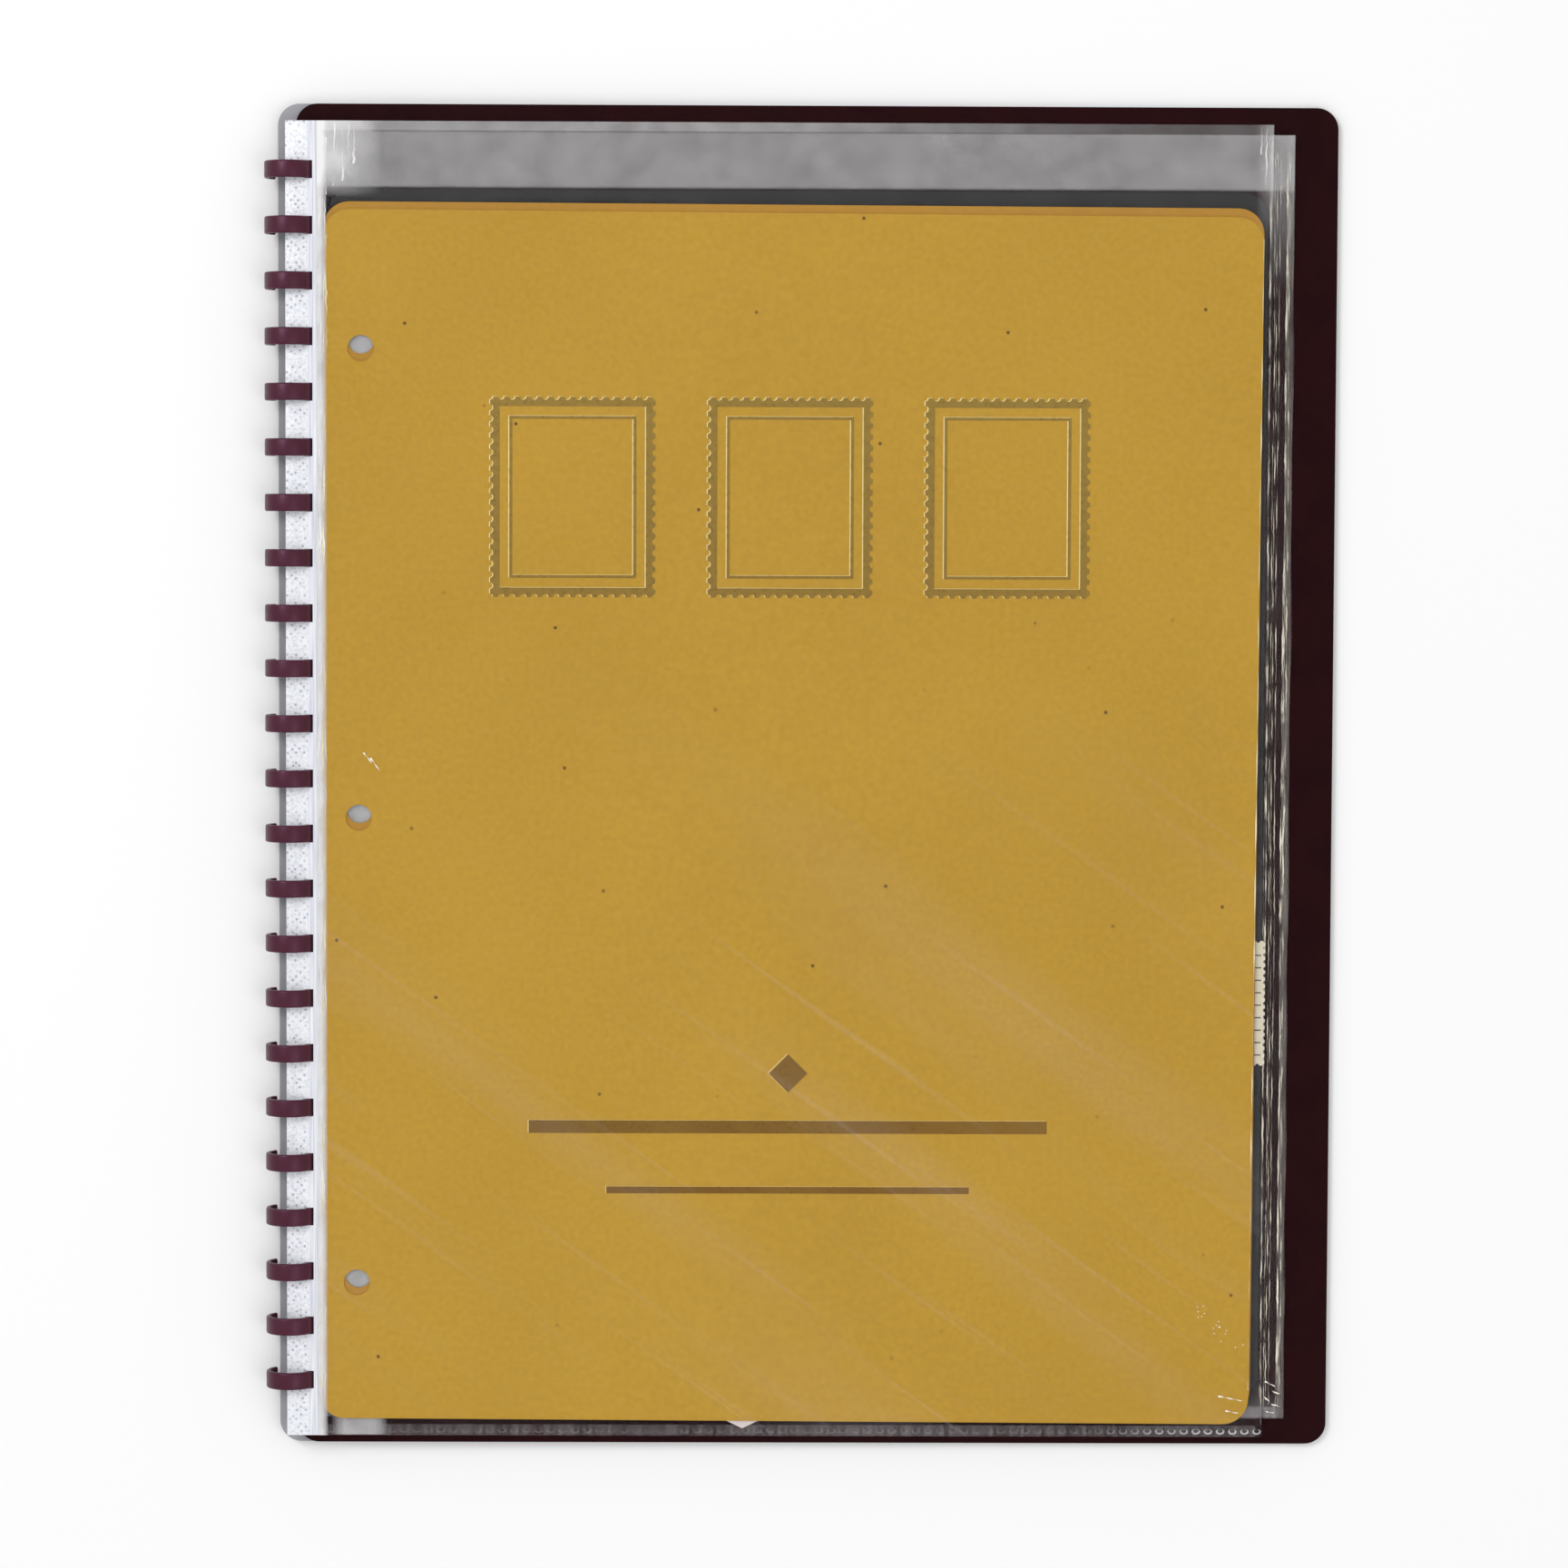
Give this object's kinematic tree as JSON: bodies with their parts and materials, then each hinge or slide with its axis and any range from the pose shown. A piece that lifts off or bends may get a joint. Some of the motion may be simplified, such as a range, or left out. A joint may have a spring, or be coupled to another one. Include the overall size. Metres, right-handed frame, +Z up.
{
  "type": "stamp album",
  "caption": "Comb-bound stamp album with clear top-loading pockets that turn on plastic rings, lying open at its title leaf with the front cover folded behind.",
  "frame": {"origin": "centre of the album's outline on the table that it lies on", "axes": "+X from the rings to the open edge, +Y up the page, +Z up from the table"},
  "size_m": [0.2468, 0.31, 0.0109],
  "materials": {
    "comb": "matte maroon polypropylene",
    "front_cover": "frosted translucent polypropylene sheet",
    "back_cover": "fine-grained dark maroon polypropylene sheet",
    "binding_strip": "white strip with a welded emboss",
    "film": "clear glossy film",
    "weld": "heat-welded clear film",
    "strip_film": "clear strip film",
    "title_card": "mottled ochre card with plain foil ornament",
    "stock_card": "matte charcoal card",
    "stamps": "perforated uncoated paper",
    "paper_slip": "torn thin paper"
  },
  "bodies": {
    "front_cover": {"front_cover": "front_cover", "comb_spine": "comb", "comb_fingers": "comb"},
    "back_cover": {"back_cover": "back_cover"},
    "leaf_1": {"leaf_1_binding_strip": "binding_strip", "leaf_1_back_film": "film", "leaf_1_front_film": "film", "leaf_1_edge_weld": "weld"},
    "leaf_2": {"leaf_2_binding_strip": "binding_strip", "leaf_2_back_film": "film", "leaf_2_front_film": "film", "leaf_2_edge_weld": "weld"},
    "leaf_3": {"leaf_3_binding_strip": "binding_strip", "leaf_3_back_film": "film", "leaf_3_front_film": "film", "leaf_3_edge_weld": "weld"},
    "leaf_4": {"leaf_4_binding_strip": "binding_strip", "leaf_4_back_film": "film", "leaf_4_front_film": "film", "leaf_4_edge_weld": "weld"},
    "title_card": {"title_card": "title_card"},
    "second_title_card": {"second_title_card": "title_card"},
    "paper_slip": {"paper_slip": "paper_slip"},
    "stock_card_2": {"stock_card_2": "stock_card", "stock_strips_2": "strip_film", "stamps_2": "stamps"},
    "stock_card_3": {"stock_card_3": "stock_card", "stock_strips_3": "strip_film", "stamps_3": "stamps"},
    "stock_card_4": {"stock_card_4": "stock_card", "stock_strips_4": "strip_film", "stamps_4": "stamps"},
    "stamp_block": {"stamp_block": "stamps"}
  },
  "joints": [
    {"name": "back_cover_hinge", "type": "hinge", "parent": "front_cover", "child": "back_cover", "pos_m": [-0.1178, 0, 0.00525], "axis": [0, -1, 0], "range_deg": [0, 180]},
    {"name": "leaf_4_turn", "type": "hinge", "parent": "back_cover", "child": "leaf_4", "pos_m": [-0.1178, 0, 0.00525], "axis": [0, -1, 0], "range_deg": [0, 180]},
    {"name": "leaf_3_turn", "type": "hinge", "parent": "leaf_4", "child": "leaf_3", "pos_m": [-0.1178, 0, 0.00525], "axis": [0, -1, 0], "range_deg": [0, 180]},
    {"name": "leaf_2_turn", "type": "hinge", "parent": "leaf_3", "child": "leaf_2", "pos_m": [-0.1178, 0, 0.00525], "axis": [0, -1, 0], "range_deg": [0, 180]},
    {"name": "leaf_1_turn", "type": "hinge", "parent": "leaf_2", "child": "leaf_1", "pos_m": [-0.1178, 0, 0.00525], "axis": [0, -1, 0], "range_deg": [0, 180]},
    {"name": "title_card_slide", "type": "slide", "parent": "leaf_1", "child": "title_card", "axis": [0, 1, 0], "range_m": [0, 0.3]},
    {"name": "second_title_card_slide", "type": "slide", "parent": "leaf_1", "child": "second_title_card", "axis": [0, 1, 0], "range_m": [0, 0.3]},
    {"name": "paper_slip_slide", "type": "slide", "parent": "leaf_1", "child": "paper_slip", "axis": [0, 1, 0], "range_m": [0, 0.3]},
    {"name": "stock_card_2_slide", "type": "slide", "parent": "leaf_2", "child": "stock_card_2", "axis": [0, 1, 0], "range_m": [0, 0.29]},
    {"name": "stock_card_3_slide", "type": "slide", "parent": "leaf_3", "child": "stock_card_3", "axis": [0, 1, 0], "range_m": [0, 0.29]},
    {"name": "stock_card_4_slide", "type": "slide", "parent": "leaf_4", "child": "stock_card_4", "axis": [0, 1, 0], "range_m": [0, 0.29]},
    {"name": "stamp_block_slide", "type": "slide", "parent": "leaf_2", "child": "stamp_block", "axis": [0, 1, 0], "range_m": [0, 0.22]}
  ]
}
